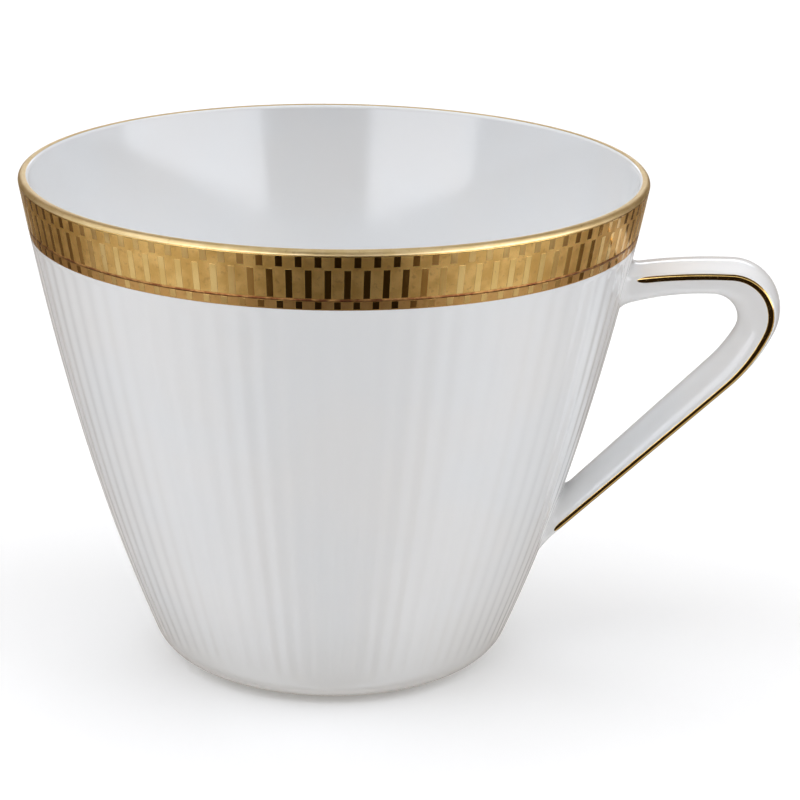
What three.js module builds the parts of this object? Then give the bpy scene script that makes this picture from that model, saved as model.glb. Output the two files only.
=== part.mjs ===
// A porcelain coffee cup: a fluted conical bowl on a turned foot ring, a bent strap handle that is
// stuck on with slip at two roots, and gilding on the lip, round the rim and along the handle's edges.
// Millimetres, +Z up, standing on its foot, with the handle towards +X.
import * as THREE from "three";

const degrees = Math.PI / 180;

// Bowl: its height and its rim are measured over the gilding, which lies flush in the wall
const cupHeight = 67.6;
const rimRadius = 42.1;
const rimLean = 10.6 * degrees;
const heelLean = 22.4 * degrees;
const heelRadius = 5.9;
const footRadius = 19.1;
const footRingWidth = 2.8;
const footRecess = 1.4;
const footRecessDraft = 0.7;
const lipThickness = 1.7;
const wallThickness = 2.6;
const floorThickness = 3.4;
const innerHeelRadius = 11.0;

// Flutes: shallow upright ribs between the heel and the gilded band
const fluteCount = 80;
const fluteDepth = 0.15;
const fluteRunOut = 1.8;
const fluteHeelMargin = 0.4;
const columnsPerFlute = 4;

// Gilding: thin fired gold on the lip, on the etched band below it and on the handle's edges
const bandHeight = 7.85;
const lipLineHeight = 0.75;
const lipLineInside = 0.23;
const goldThickness = 0.1;
const goldSeat = 0.05;
const edgeLineOnSide = 0.3;
const edgeLineOnCrown = 0.45;
const edgeLineStart = 0.35;

// Handle: a bent strap of D section, crowned outside and round inside, sized at its two gilded edges
const handleProjection = 17.95;
const handleWidth = 8.5;
const outerCrown = 1.1;
const innerSquareness = 2.6;
const upperRootDrop = 12.5;
const lowerRootDrop = 48.95;
const bendDrop = 16.65;
const bendRadius = 5.45;
const bendTurn = 24 * degrees;
const easeRadius = 23.5;
const rootMargin = 0.4;

// The strap's depth under its edges, at its roots and its bend, and the bend of its inner line
const upperRootDepth = 3.9;
const bendTopDepth = 3.3;
const bendDepth = 4.5;
const lowerRootDepth = 2.45;
const innerBendRadius = 3.4;
const innerBendTurn = 28.4 * degrees;
const innerEaseRadius = 21.2;

// Slip joints: the fired slip between a root and the wall, squeezed out into a small fillet
const jointThickness = 1.1;
const jointFlare = 1.0;
const jointSeat = 0.15;

// Facets
const heelSteps = 4;
const lipSteps = 6;
const wallSteps = 4;
const innerHeelSteps = 5;
const fluteRows = 5;
const crownSteps = 6;
const roundSteps = 10;
const upperLegSteps = 6;
const bendSteps = 14;
const easeSteps = 5;
const jointRings = 5;

const goldRecess = goldSeat + goldThickness;
const lipRadius = lipThickness / 2;
const rimCentreHeight = cupHeight - goldRecess - lipRadius;
const lipCentre = new THREE.Vector2(rimRadius - goldRecess - lipRadius, rimCentreHeight);
const heelTop = heelRadius * (1 - Math.sin(heelLean));
const bandBottom = cupHeight - bandHeight;
const bandMiddle = (bandBottom + rimCentreHeight) / 2;
const fluteBottom = heelTop + fluteHeelMargin;
const ledgeHeight = bandBottom - goldSeat;
const handleReach = rimRadius + handleProjection;
const smoothColumns = fluteCount;
const innerFloor = footRecess + floorThickness;

// Wall curves, as radius and height
function leaningCurve(top, bottom) {
  const reach = top.distanceTo(bottom) / 3;
  const towardsTop = (lean) => new THREE.Vector2(Math.sin(lean), Math.cos(lean));
  const topHandle = top.clone().addScaledVector(towardsTop(rimLean), -reach);
  const bottomHandle = bottom.clone().addScaledVector(towardsTop(heelLean), reach);
  return new THREE.CubicBezierCurve(top, topHandle, bottomHandle, bottom);
}

// Halves a span, keeping the half in which a test stops holding, until the span has no middle left
function lastHolding(from, to, holds) {
  let low = from;
  let high = to;
  let middle = (low + high) / 2;
  while (middle > low && middle < high) {
    if (holds(middle)) low = middle;
    else high = middle;
    middle = (low + high) / 2;
  }
  return low;
}

function pointAtHeight(curve, height) {
  return curve.getPoint(lastHolding(0, 1, (share) => curve.getPoint(share).y > height));
}

const outerWall = leaningCurve(
  new THREE.Vector2(rimRadius, rimCentreHeight),
  new THREE.Vector2(footRadius + heelRadius * Math.cos(heelLean), heelTop),
);

const wallRadiusAt = (height) => pointAtHeight(outerWall, height).x;

const innerHeelTop = innerFloor + innerHeelRadius * (1 - Math.sin(heelLean));
const innerHeelTopRadius = wallRadiusAt(innerHeelTop) - wallThickness / Math.cos(heelLean);
const innerWall = leaningCurve(
  new THREE.Vector2(lipCentre.x - lipRadius, rimCentreHeight),
  new THREE.Vector2(innerHeelTopRadius, innerHeelTop),
);

// Points of a circle and of an arc in the radius and height plane
function circlePoint(centre, radius, angle) {
  return new THREE.Vector2(Math.cos(angle), Math.sin(angle)).multiplyScalar(radius).add(centre);
}

function arcPoints(centre, radius, from, to, steps) {
  const points = [];
  for (let step = 0; step <= steps; step += 1) {
    points.push(circlePoint(centre, radius, from + ((to - from) * step) / steps));
  }
  return points;
}

// A closed skin through a stack of rings. The number of points in a ring divides that of its
// neighbours, and a ring of one point closes an end.
function loft(rings) {
  const positions = [];
  const corner = (ring, index) => positions.push(...ring[index % ring.length].toArray());
  const triangle = (ringA, a, ringB, b, ringC, c) => {
    corner(ringA, a);
    corner(ringB, b);
    corner(ringC, c);
  };
  for (let level = 1; level < rings.length; level += 1) {
    const lower = rings[level - 1];
    const upper = rings[level];
    const finerIsUpper = upper.length > lower.length;
    const coarse = finerIsUpper ? lower : upper;
    const fine = finerIsUpper ? upper : lower;
    const ratio = fine.length / coarse.length;
    const split = coarse.length === 1 ? ratio : Math.ceil(ratio / 2);
    for (let index = 0; index < coarse.length; index += 1) {
      for (let step = 0; step < ratio; step += 1) {
        const apex = step < split ? index : index + 1;
        const first = index * ratio + step;
        if (finerIsUpper) triangle(coarse, apex, fine, first + 1, fine, first);
        else triangle(coarse, apex, fine, first, fine, first + 1);
      }
      if (coarse.length === 1) continue;
      const middle = index * ratio + split;
      if (finerIsUpper) triangle(coarse, index, coarse, index + 1, fine, middle);
      else triangle(coarse, index, fine, middle, coarse, index + 1);
    }
  }
  const geometry = new THREE.BufferGeometry();
  geometry.setAttribute("position", new THREE.Float32BufferAttribute(positions, 3));
  geometry.computeVertexNormals();
  return geometry;
}

// Materials
const porcelain = new THREE.MeshStandardMaterial({ color: 0xf1f1ef, roughness: 0.14, metalness: 0 });
const firedSlip = new THREE.MeshStandardMaterial({ color: 0xecece9, roughness: 0.2, metalness: 0 });
const polishedGold = new THREE.MeshStandardMaterial({ color: 0xd8b056, roughness: 0.14, metalness: 1 });
const etchedGold = new THREE.MeshStandardMaterial({ color: 0xb98f42, roughness: 0.42, metalness: 1 });

function piece(name, geometry, material) {
  const mesh = new THREE.Mesh(geometry, material);
  mesh.name = name;
  return mesh;
}

// Bowl
function plainRing(point) {
  const ring = [];
  for (let column = 0; column < smoothColumns; column += 1) {
    const angle = (2 * Math.PI * column) / smoothColumns;
    ring.push(new THREE.Vector3(point.x * Math.cos(angle), point.x * Math.sin(angle), point.y));
  }
  return ring;
}

// Each flute is a convex rib: full radius at its crest, fluteDepth less in the valleys beside it
function flutedRing(height) {
  const ring = [];
  const columns = fluteCount * columnsPerFlute;
  for (let column = 0; column < columns; column += 1) {
    const angle = (2 * Math.PI * column) / columns;
    const fromCrest = 1 - (2 * (column % columnsPerFlute)) / columnsPerFlute;
    const radius = wallRadiusAt(height) - fluteDepth * fromCrest * fromCrest;
    ring.push(new THREE.Vector3(radius * Math.cos(angle), radius * Math.sin(angle), height));
  }
  return ring;
}

function makeCupBody() {
  const footInner = footRadius - footRingWidth;
  const underside = [
    new THREE.Vector2(footInner - footRecessDraft, footRecess),
    new THREE.Vector2(footInner, 0),
  ];
  const heelCentre = new THREE.Vector2(footRadius, heelRadius);
  const heel = arcPoints(heelCentre, heelRadius, -Math.PI / 2, -heelLean, heelSteps);
  const fluted = [];
  for (let row = 0; row <= fluteRows; row += 1) {
    const span = ledgeHeight - fluteBottom - 2 * fluteRunOut;
    fluted.push(flutedRing(fluteBottom + fluteRunOut + (span * row) / fluteRows));
  }
  const underBand = [
    pointAtHeight(outerWall, ledgeHeight),
    gildedPoint(ledgeHeight, 0),
    gildedPoint(bandMiddle, 0),
  ];
  const lip = arcPoints(lipCentre, lipRadius, 0, Math.PI, lipSteps);
  const inside = innerWall.getPoints(wallSteps).slice(1, -1);
  const innerHeelCentre = new THREE.Vector2(
    innerHeelTopRadius - innerHeelRadius * Math.cos(heelLean),
    innerFloor + innerHeelRadius,
  );
  const innerHeel = arcPoints(innerHeelCentre, innerHeelRadius, -heelLean, -Math.PI / 2, innerHeelSteps);
  const rings = [
    [new THREE.Vector3(0, 0, footRecess)],
    ...[...underside, ...heel, pointAtHeight(outerWall, fluteBottom)].map(plainRing),
    ...fluted,
    ...[...underBand, ...lip, ...inside, ...innerHeel].map(plainRing),
    [new THREE.Vector3(0, 0, innerFloor)],
  ];
  return piece("cup_body", loft(rings), porcelain);
}

// Gilding round the rim: a closed ring between two offsets of the porcelain's own profile
function revolve(profile) {
  const closed = [...profile, profile[0]];
  const geometry = new THREE.LatheGeometry(closed, smoothColumns, Math.PI / 2);
  geometry.rotateX(Math.PI / 2);
  return geometry;
}

// A point outside the gilded porcelain by an offset: beside the wall, or round the lip above its centre
function gildedPoint(height, offset) {
  if (height < rimCentreHeight) {
    return pointAtHeight(outerWall, height).add(new THREE.Vector2(offset - goldRecess, 0));
  }
  const angle = Math.asin((height - rimCentreHeight) / lipRadius);
  return circlePoint(lipCentre, lipRadius + offset, angle);
}

function makeGoldBand() {
  const top = cupHeight - lipLineHeight - goldSeat;
  const heights = [bandBottom, bandMiddle, rimCentreHeight, top];
  const face = heights.map((height) => gildedPoint(height, goldRecess));
  const back = heights.map((height) => gildedPoint(height, goldSeat)).reverse();
  return piece("etched_gold_band", revolve([...face, ...back]), etchedGold);
}

function makeLipLine() {
  const hem = cupHeight - lipLineHeight;
  const start = Math.asin(Math.max(hem - rimCentreHeight, 0) / lipRadius);
  const end = Math.PI / 2 + Math.asin(lipLineInside / lipRadius);
  const layer = (offset) => {
    const round = arcPoints(lipCentre, lipRadius + offset, start, end, lipSteps);
    return hem < rimCentreHeight ? [gildedPoint(hem, offset), ...round] : round;
  };
  const face = layer(goldRecess);
  const back = layer(goldSeat).reverse();
  return piece("lip_gold_line", revolve([...face, ...back]), polishedGold);
}

// A line of the handle, in the plane of radius and height: an arched upper leg, a bend, an easing arc
// of larger radius and a straight lower leg
function makeLine(start, end, bend) {
  const spoke = new THREE.Vector2(Math.cos(bend.turn), -Math.sin(bend.turn));
  const easeCentre = bend.centre.clone().addScaledVector(spoke, bend.radius - bend.easeRadius);
  const fromEase = end.clone().sub(easeCentre);
  const legTurn = 2 * Math.PI - fromEase.angle() - Math.acos(bend.easeRadius / fromEase.length());
  const bendTop = circlePoint(bend.centre, bend.radius, Math.PI / 2);
  const arch = new THREE.Vector2((start.x + bendTop.x) / 2, bendTop.y);
  const turning = (centre, radius, from, to) =>
    new THREE.EllipseCurve(centre.x, centre.y, radius, radius, from, to, true);
  const line = new THREE.CurvePath();
  line.add(new THREE.QuadraticBezierCurve(start, arch, bendTop));
  line.add(turning(bend.centre, bend.radius, Math.PI / 2, -bend.turn));
  line.add(turning(easeCentre, bend.easeRadius, -bend.turn, -legTurn));
  line.add(new THREE.LineCurve(circlePoint(easeCentre, bend.easeRadius, -legTurn), end));
  return line;
}

// The edge line runs along the strap's two gilded edges
const upperRoot = pointAtHeight(outerWall, cupHeight - upperRootDrop);
const lowerRoot = pointAtHeight(outerWall, cupHeight - lowerRootDrop);
const bendCentre = new THREE.Vector2(handleReach - outerCrown - bendRadius, cupHeight - bendDrop);
const edgeLine = makeLine(upperRoot, lowerRoot, {
  centre: bendCentre,
  radius: bendRadius,
  turn: bendTurn,
  easeRadius,
});
const stretchEnds = edgeLine.getCurveLengths();
const [bendStart, bendEnd, easeEnd, lineLength] = stretchEnds;

// The inner line runs along the middle of the strap's inside
const innerUpperRoot = upperRoot.clone().sub(new THREE.Vector2(0, upperRootDepth));
const alongLeg = edgeLine.getTangent(1);
const underLeg = new THREE.Vector2(alongLeg.y, -alongLeg.x);
const innerLowerRoot = lowerRoot.clone().addScaledVector(underLeg, lowerRootDepth);
const innerBendCentre = new THREE.Vector2(
  bendCentre.x + bendRadius - bendDepth - innerBendRadius,
  bendCentre.y + bendRadius - bendTopDepth - innerBendRadius,
);
const innerLine = makeLine(innerUpperRoot, innerLowerRoot, {
  centre: innerBendCentre,
  radius: innerBendRadius,
  turn: innerBendTurn,
  easeRadius: innerEaseRadius,
});

// The strap's frame at a distance along its edge line: along it, outwards from it, and under it
// towards the inner line at the same share of the same stretch
function strapFrame(distance) {
  const stretch = stretchEnds.findIndex((stretchEnd) => distance <= stretchEnd);
  const stretchStart = stretch === 0 ? 0 : stretchEnds[stretch - 1];
  const share = (distance - stretchStart) / (stretchEnds[stretch] - stretchStart);
  const edge = edgeLine.curves[stretch].getPointAt(share);
  const along = edgeLine.curves[stretch].getTangentAt(share);
  const under = innerLine.curves[stretch].getPointAt(share).sub(edge);
  const depth = under.length();
  return {
    edge: new THREE.Vector3(edge.x, 0, edge.y),
    along: new THREE.Vector3(along.x, 0, along.y),
    outward: new THREE.Vector3(-along.y, 0, along.x),
    under: new THREE.Vector3(under.x / depth, 0, under.y / depth),
    depth,
  };
}

// A point of the strap at a frame: across its width, and risen outwards from its edge or sunk under it
function strapPoint(frame, across, rise) {
  const direction = rise < 0 ? frame.under : frame.outward;
  const point = frame.edge.clone().addScaledVector(direction, Math.abs(rise));
  point.y += across;
  return point;
}

const crownRise = (share) => 1 - share * share;

// The strap's outline at a frame, wider and deeper by two margins for the slip round it
function strapSection(frame, wider, deeper) {
  const halfWidth = handleWidth / 2 + wider;
  const ring = [];
  for (let step = 0; step <= crownSteps; step += 1) {
    const share = 1 - (2 * step) / crownSteps;
    ring.push(strapPoint(frame, share * halfWidth, (outerCrown + deeper) * crownRise(share)));
  }
  for (let step = 1; step < roundSteps; step += 1) {
    const angle = (Math.PI * step) / roundSteps;
    const power = 2 / innerSquareness;
    const share = -Math.sign(Math.cos(angle)) * Math.abs(Math.cos(angle)) ** power;
    ring.push(strapPoint(frame, share * halfWidth, -(frame.depth + deeper) * Math.sin(angle) ** power));
  }
  return ring;
}

// Slides a point along a direction until it lies at an offset outside the wall's crests
function slideToWall(point, direction, offset) {
  const isOutside = (distance) => {
    const moved = point.clone().addScaledVector(direction, distance);
    return Math.hypot(moved.x, moved.y) > wallRadiusAt(moved.z) + offset;
  };
  return point.clone().addScaledVector(direction, lastHolding(-handleReach / 2, handleReach / 4, isOutside));
}

// A root: where a leg's end runs into the wall. The slip's flare is measured across the wall.
function makeRoot(distance, sign) {
  const frame = strapFrame(distance);
  const inward = frame.along.clone().multiplyScalar(sign);
  const slant = Math.abs(inward.x);
  const ringAt = (offset, flare) =>
    strapSection(frame, flare, flare * slant).map((point) => slideToWall(point, inward, offset));
  const middle = strapPoint(frame, 0, (outerCrown - frame.depth) / 2);
  const middleAt = (offset) => [slideToWall(middle, inward, offset)];
  const endRing = ringAt(jointThickness, 0);
  const reach = Math.max(...endRing.map((point) => frame.edge.clone().sub(point).dot(inward)));
  return { inward, ringAt, middleAt, endRing, reach };
}

const upperEnd = makeRoot(0, -1);
const lowerEnd = makeRoot(lineLength, 1);

// Distances along the edge line at which the strap's outline is set: close in the bend, none in the
// straight leg but its ends
function handleDistances() {
  const first = upperEnd.reach + rootMargin;
  const last = lineLength - lowerEnd.reach - rootMargin;
  const stretches = [
    [first, bendStart, upperLegSteps],
    [bendStart, bendEnd, bendSteps],
    [bendEnd, easeEnd, easeSteps],
  ];
  const distances = [];
  for (const [from, to, steps] of stretches) {
    for (let step = 0; step < steps; step += 1) distances.push(from + ((to - from) * step) / steps);
  }
  return [...distances, easeEnd, last];
}

function makeHandle() {
  const sections = handleDistances().map((distance) => strapSection(strapFrame(distance), 0, 0));
  const rings = [
    upperEnd.middleAt(jointThickness),
    upperEnd.endRing,
    ...sections,
    lowerEnd.endRing,
    lowerEnd.middleAt(jointThickness),
  ];
  return piece("handle", loft(rings), porcelain);
}

function makeJoint(name, root) {
  const face = jointThickness - jointSeat;
  const rings = [root.middleAt(jointSeat)];
  for (let level = 0; level < jointRings; level += 1) {
    const share = level / (jointRings - 1);
    const offset = THREE.MathUtils.lerp(jointSeat, face, share);
    rings.push(root.ringAt(offset, jointFlare * (1 - share) ** 2));
  }
  rings.push(root.middleAt(face));
  if (root === lowerEnd) rings.reverse();
  return piece(name, loft(rings), firedSlip);
}

// A gold line folded over one edge of the strap: down its side and up its outer face
function goldLineRing(frame, side) {
  const halfWidth = handleWidth / 2;
  const crownEdge = halfWidth - edgeLineOnCrown;
  const rise = outerCrown * crownRise(crownEdge / halfWidth);
  const layer = (offset) => [
    strapPoint(frame, side * (halfWidth + offset), -edgeLineOnSide),
    strapPoint(frame, side * (halfWidth + offset), offset),
    strapPoint(frame, side * crownEdge, rise + offset),
  ];
  const face = layer(goldRecess);
  const back = layer(goldSeat).reverse();
  const ring = [...face, ...back];
  return side > 0 ? ring : ring.reverse();
}

function makeGoldLine(name, side) {
  const edgeIndex = side > 0 ? 0 : crownSteps;
  const lift = new THREE.Vector3(0, side * goldRecess, 0);
  const tip = (root) => {
    const rootEdge = root.endRing[edgeIndex].clone();
    return [rootEdge.addScaledVector(root.inward, -edgeLineStart).add(lift)];
  };
  const rings = handleDistances().map((distance) => goldLineRing(strapFrame(distance), side));
  return piece(name, loft([tip(upperEnd), ...rings, tip(lowerEnd)]), polishedGold);
}

// The cup's axis stands off the origin so that the part's footprint box is centred on it
const standing = new THREE.Group();
standing.position.x = (rimRadius - handleReach) / 2;
standing.add(
  makeCupBody(),
  makeHandle(),
  makeJoint("upper_handle_joint", upperEnd),
  makeJoint("lower_handle_joint", lowerEnd),
  makeGoldBand(),
  makeLipLine(),
  makeGoldLine("handle_gold_line_left", 1),
  makeGoldLine("handle_gold_line_right", -1),
);

const coffeeCup = new THREE.Group();
coffeeCup.name = "coffee_cup";
coffeeCup.add(standing);

export default coffeeCup;
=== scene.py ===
"""The looks of a gilded porcelain coffee cup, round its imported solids. Metres, in the solids' frame."""
import math

import bmesh
import bpy
import numpy as np
from mathutils import Matrix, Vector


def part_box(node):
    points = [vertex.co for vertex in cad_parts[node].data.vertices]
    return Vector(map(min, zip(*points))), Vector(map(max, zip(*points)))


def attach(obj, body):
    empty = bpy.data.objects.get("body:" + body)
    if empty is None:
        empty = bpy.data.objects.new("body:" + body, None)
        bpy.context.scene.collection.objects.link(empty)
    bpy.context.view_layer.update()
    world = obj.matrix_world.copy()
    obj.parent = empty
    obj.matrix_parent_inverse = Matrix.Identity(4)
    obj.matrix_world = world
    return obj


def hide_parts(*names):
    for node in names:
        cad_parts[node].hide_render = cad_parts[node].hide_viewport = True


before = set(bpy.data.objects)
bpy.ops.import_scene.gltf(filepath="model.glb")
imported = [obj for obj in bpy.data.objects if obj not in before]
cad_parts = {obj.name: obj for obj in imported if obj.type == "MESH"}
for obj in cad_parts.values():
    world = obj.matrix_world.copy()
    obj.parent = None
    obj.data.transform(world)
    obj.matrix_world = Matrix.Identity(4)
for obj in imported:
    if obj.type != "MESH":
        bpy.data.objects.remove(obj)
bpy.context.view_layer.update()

MM = 0.001

# The cup's place and main sizes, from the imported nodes: the looks stay inside the solids' box by a skin
SKIN = 0.01 * MM
band_low, band_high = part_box("etched_gold_band")
_, lip_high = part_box("lip_gold_line")
handle_low, handle_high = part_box("handle")
AXIS_X = (band_low.x + band_high.x) / 2
RIM_RADIUS = (band_high.x - band_low.x) / 2 - SKIN
CUP_HEIGHT = lip_high.z - SKIN
BAND_BOTTOM = band_low.z
HANDLE_REACH = handle_high.x - AXIS_X - SKIN
HALF_HANDLE = (handle_high.y - handle_low.y) / 2

# Bowl
RIM_LEAN = math.radians(10.6)
HEEL_LEAN = math.radians(22.4)
HEEL_RADIUS = 5.9 * MM
FOOT_RADIUS = 19.1 * MM
FOOT_RING_WIDTH = 2.8 * MM
FOOT_RECESS = 1.4 * MM
FOOT_ROUND = 0.5 * MM
LIP_RADIUS = 0.7 * MM
WALL_THICKNESS = 2.6 * MM
FLOOR_THICKNESS = 3.4 * MM
INNER_HEEL_RADIUS = 11.0 * MM

# Flutes
FLUTE_COUNT = 80
FLUTE_DEPTH = 0.1 * MM
FLUTE_FOOT_RUN_OUT = 2.6 * MM
FLUTE_BAND_RUN_OUT = 0.9 * MM
FLUTE_MARGIN = 0.3 * MM
FLUTE_UNEVENNESS = 0.12
COLUMNS_PER_FLUTE = 8
FLUTE_SEED = 7

# Gilding round the rim, flush in the wall: rows of tiles on a sunk matte ground, with spans given as heights
TILE_COUNT = 110
BAR_ANGLE = math.radians(-83.0)
AT_BARS = 0.0
BETWEEN_BARS = 0.5
TILE_WIDTH = 0.92 * MM
LOWER_SQUARE_SPAN = (59.87 * MM, 60.9 * MM)
BROWN_LINE_SPAN = (60.91 * MM, 61.27 * MM)
BAR_SPAN = (61.28 * MM, 65.06 * MM)
UPPER_SQUARE_SPAN = (65.36 * MM, 66.81 * MM)
HEM_LINE_SPAN = (66.73 * MM, 66.91 * MM)
LIP_LINE_END = math.radians(120)
BED_DEPTH = 0.1 * MM
BED_GAP = 0.01 * MM
GROUND_DEPTH = 0.02 * MM
TILE_SINK = 0.05 * MM
TILE_BEVEL = 0.02 * MM
LINE_DEPTH = 0.01 * MM
BAND_COLUMNS = 3 * TILE_COUNT
EDGE_LOOP = 0.05 * MM

# Handle: the edge line and the inner line in the plane of radius and height, and the strap's section
UPPER_ROOT_HEIGHT = 55.1 * MM
LOWER_ROOT_HEIGHT = 18.65 * MM
BEND_HEIGHT = 50.95 * MM
BEND_RADIUS = 5.45 * MM
BEND_TURN = math.radians(24)
EASE_RADIUS = 23.5 * MM
OUTER_CROWN = 1.1 * MM
EDGE_RADIUS = 0.6 * MM
EDGE_TURN = math.radians(75)
EDGE_STEPS = 6
UPPER_ROOT_DEPTH = 3.9 * MM
BEND_TOP_DEPTH = 3.3 * MM
BEND_DEPTH = 4.5 * MM
LOWER_ROOT_DEPTH = 2.45 * MM
INNER_BEND_RADIUS = 3.4 * MM
INNER_BEND_TURN = math.radians(28.4)
INNER_EASE_RADIUS = 21.2 * MM
INNER_SQUARENESS = 2.3
ROOT_RUN = 14.0 * MM
ROOT_SINK = 0.25 * MM
UPPER_FILLET = 1.2 * MM
LOWER_FILLET = 1.0 * MM
FILLET_STEPS = 10
LEG_CLEARANCE = 0.6 * MM
CLEARANCE_SHARES = (0.25, 0.5, 0.75)
RING_SPACING = 0.55 * MM
CROWN_STEPS = 18
ROUND_STEPS = 28

# Gold lines on the handle's edges: how far on the side and over the edge, on the upper and the lower leg
LINE_ON_SIDE = (0.5 * MM, 0.2 * MM)
LINE_TURN = (math.radians(33), math.radians(66))
LINE_SHIFT = (0.3, 0.55)
LINE_HEIGHT = 0.01 * MM
LINE_SEAT = 0.05 * MM
LINE_TAPER = 1.6 * MM
LINE_TIP_SHARE = 0.0004
LINE_STEPS = 12
LINE_TIP_RINGS = 12
LINE_RINGS = 110
LINE_UPPER_STAND = 1.4 * MM
LINE_LOWER_STAND = 0.9 * MM

# Fineness: steps along curves, halvings in the search for the wall, rows up the cup and columns round it
CURVE_STEPS = 600
HALVINGS = 40
LIP_STEPS = 40
FOOT_STEPS = 4
HEEL_STEPS = 14
FLUTE_FOOT_ROWS = 8
FLUTE_ROWS = 20
FLUTE_BAND_ROWS = 5
BED_ROWS = 5
LIP_BED_STEPS = 12
INNER_WALL_STRIDE = 20
INNER_HEEL_STEPS = 20
TILE_ROWS = 7
GROUND_ROWS = 6
GROUND_LIP_ROWS = 4
LIP_LINE_STEPS = 28
LIP_LINE_COLUMNS = 360

# Noise in the materials: its detail, the spans of its value that are blended over, and the bump's strength
SMOOTH_DETAIL = 2.0
PLAIN_DETAIL = 3.0
FINE_DETAIL = 4.0
FINEST_DETAIL = 5.0
MIDDLE_NOISE = (0.35, 0.65)
MOST_NOISE = (0.3, 0.7)
RIPPLE_STRENGTH = 0.12

# Porcelain: glaze with painted shade, darker and warmer towards the heel, and bare clay under the foot ring
GLAZE_COLOURS = ((0.87, 0.88, 0.885), (0.885, 0.88, 0.87))
GLAZE_CLOUDS = 22 * MM
# Painted shade: the glaze colour the wall turns to towards the heel, and the heights it fades over
HEEL_SHADE_COLOUR = (0.84, 0.832, 0.812)
HEEL_SHADE_HEIGHTS = (2 * MM, 16 * MM)
BARE_COLOUR = (0.8, 0.77, 0.72)
BARE_HEIGHTS = (0.05 * MM, 0.35 * MM)
BARE_ROUGHNESS = 0.75
GLAZE_PATCHES = 9 * MM
GLAZE_ROUGHNESS = (0.07, 0.13)
GLAZE_RIPPLES = 3.5 * MM
GLAZE_RELIEF = 0.05 * MM
GLAZE_IOR = 1.5

# Etched gold: a grained ground in blotches, browner under the brown line, with stains and pits
GROUND_COLOURS = ((0.7, 0.41, 0.115), (0.88, 0.555, 0.185))
GROUND_BLOTCHES = 2.4 * MM
GROUND_BLOTCH_NOISE = (0.35, 0.68)
LOWER_GROUND_COLOUR = (0.6, 0.32, 0.11)
LOWER_GROUND_SHARE = 0.75
STAIN_COLOUR = (0.5, 0.26, 0.075)
STAIN_SIZE = 0.7 * MM
STAIN_NOISE = (0.56, 0.72)
STAIN_SHARE = 0.55
PIT_COLOUR = (0.5, 0.28, 0.08)
PIT_NOISE = (0.28, 0.48)
PIT_SHARE = 0.3
GRAIN_SIZE = 0.16 * MM
GRAIN_STRENGTH = 0.5
GROUND_ROUGHNESS = (0.34, 0.46)
GOLD_RELIEF = 0.02 * MM

# Bright gold: colours of the bars and lines, of the worn squares and of the lip, and two finishes
BURNISHED_COLOURS = ((0.78, 0.505, 0.165), (0.86, 0.58, 0.215))
WORN_COLOURS = ((0.56, 0.345, 0.115), (0.72, 0.465, 0.165))
SATIN_COLOURS = ((0.79, 0.585, 0.28), (0.86, 0.655, 0.345))
GOLD_PATCHES = 0.5 * MM
BURNISHED_FINISH = {
    "blotch_size": 3.2 * MM,
    "rubbed_size": 0.7 * MM,
    "rubbed_noise": (0.66, 0.76),
    "rubbed_share": 0.7,
    "rubbed_colour": (0.5, 0.28, 0.1),
    "roughness": (0.07, 0.14),
    "ripple_size": 1.1 * MM,
}
SATIN_FINISH = {
    "blotch_size": 2.6 * MM,
    "rubbed_size": 0.9 * MM,
    "rubbed_noise": (0.64, 0.74),
    "rubbed_share": 0.6,
    "rubbed_colour": (0.6, 0.4, 0.18),
    "roughness": (0.34, 0.46),
    "ripple_size": 0.8 * MM,
}

# Thin brown gold of the line between the bars and the lower squares
BROWN_COLOURS = ((0.24, 0.085, 0.03), (0.52, 0.27, 0.09))
BROWN_PATCHES = 1.1 * MM
BROWN_NOISE = (0.4, 0.66)
BROWN_ROUGHNESS = (0.32, 0.48)

# Floor: a pale matte sheet that glows a little, just under the foot ring
FLOOR_HALF = 2.5
FLOOR_DROP = 0.03 * MM
FLOOR_COLOURS = ((0.875, 0.87, 0.86), (0.88, 0.875, 0.865))
FLOOR_CLOUDS = 0.3
FLOOR_ROUGHNESS = 0.9
FLOOR_SPECULAR = 0.1
FLOOR_FILL_COLOUR = (1.0, 0.985, 0.96, 1.0)
FLOOR_FILL = 0.15

# What lights the cup: spans of the turn from the camera's side and of the rise in degrees, levels, a softbox
LEFT_LAMP = (-120, -53)
RIGHT_LAMP = (50, 112)
LAMP_RISE = (22, 58)
LAMP_FILL = 2.05
FRONT_LAMP = (-60, 60)
FRONT_RISE = (46, 78)
FRONT_LAMP_FILL = 1.25
BACK_WALL = (155, 270)
BACK_FILL = 1.05
FRONT_FILL = 0.03
SOFTBOX_SIZE = 1.6
SOFTBOX_HEIGHT = 1.3
SOFTBOX_POWER = 9.2

# What the cup's gloss mirrors, in the same terms
FRONT_GLOW = 0.02
ABOVE_TABLE = (16, 180)
SIDE_TURN = (88, 270)
SIDE_TABLE_GLOW = 0.12
SIDE_GLOW = 0.3
BACK_TABLE_GLOW = 0.4
BACK_GLOW = 0.6
STRIP_TURN = (160, 270)
STRIP_RISE = (11, 16)
STRIP_GLOW = 3.0
LEFT_TABLE = (-104, -38)
RIGHT_TABLE = (42, 95)
TABLE_GLOW = 0.82
HORIZON_TURN = (-115, 115)
HORIZON_RISE = (-3, 7)
HORIZON_GLOW = 1.6
LEFT_WINDOW = (-58, -14)
RIGHT_WINDOW = (29, 90)
WINDOW_RISE = (-2, 17)
WINDOW_GLOW = 4.4
LAMP_GLOW = 1.5
CEILING_RISE = (70, 180)
CEILING_GLOW = 0.8

# Softness of the edges of these spans, in degrees
LAMP_SOFTNESS = 8
TABLE_SOFTNESS = 17
WINDOW_SOFTNESS = 3.5
STRIP_SOFTNESS = 1.5
HORIZON_SOFTNESS = 5

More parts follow.
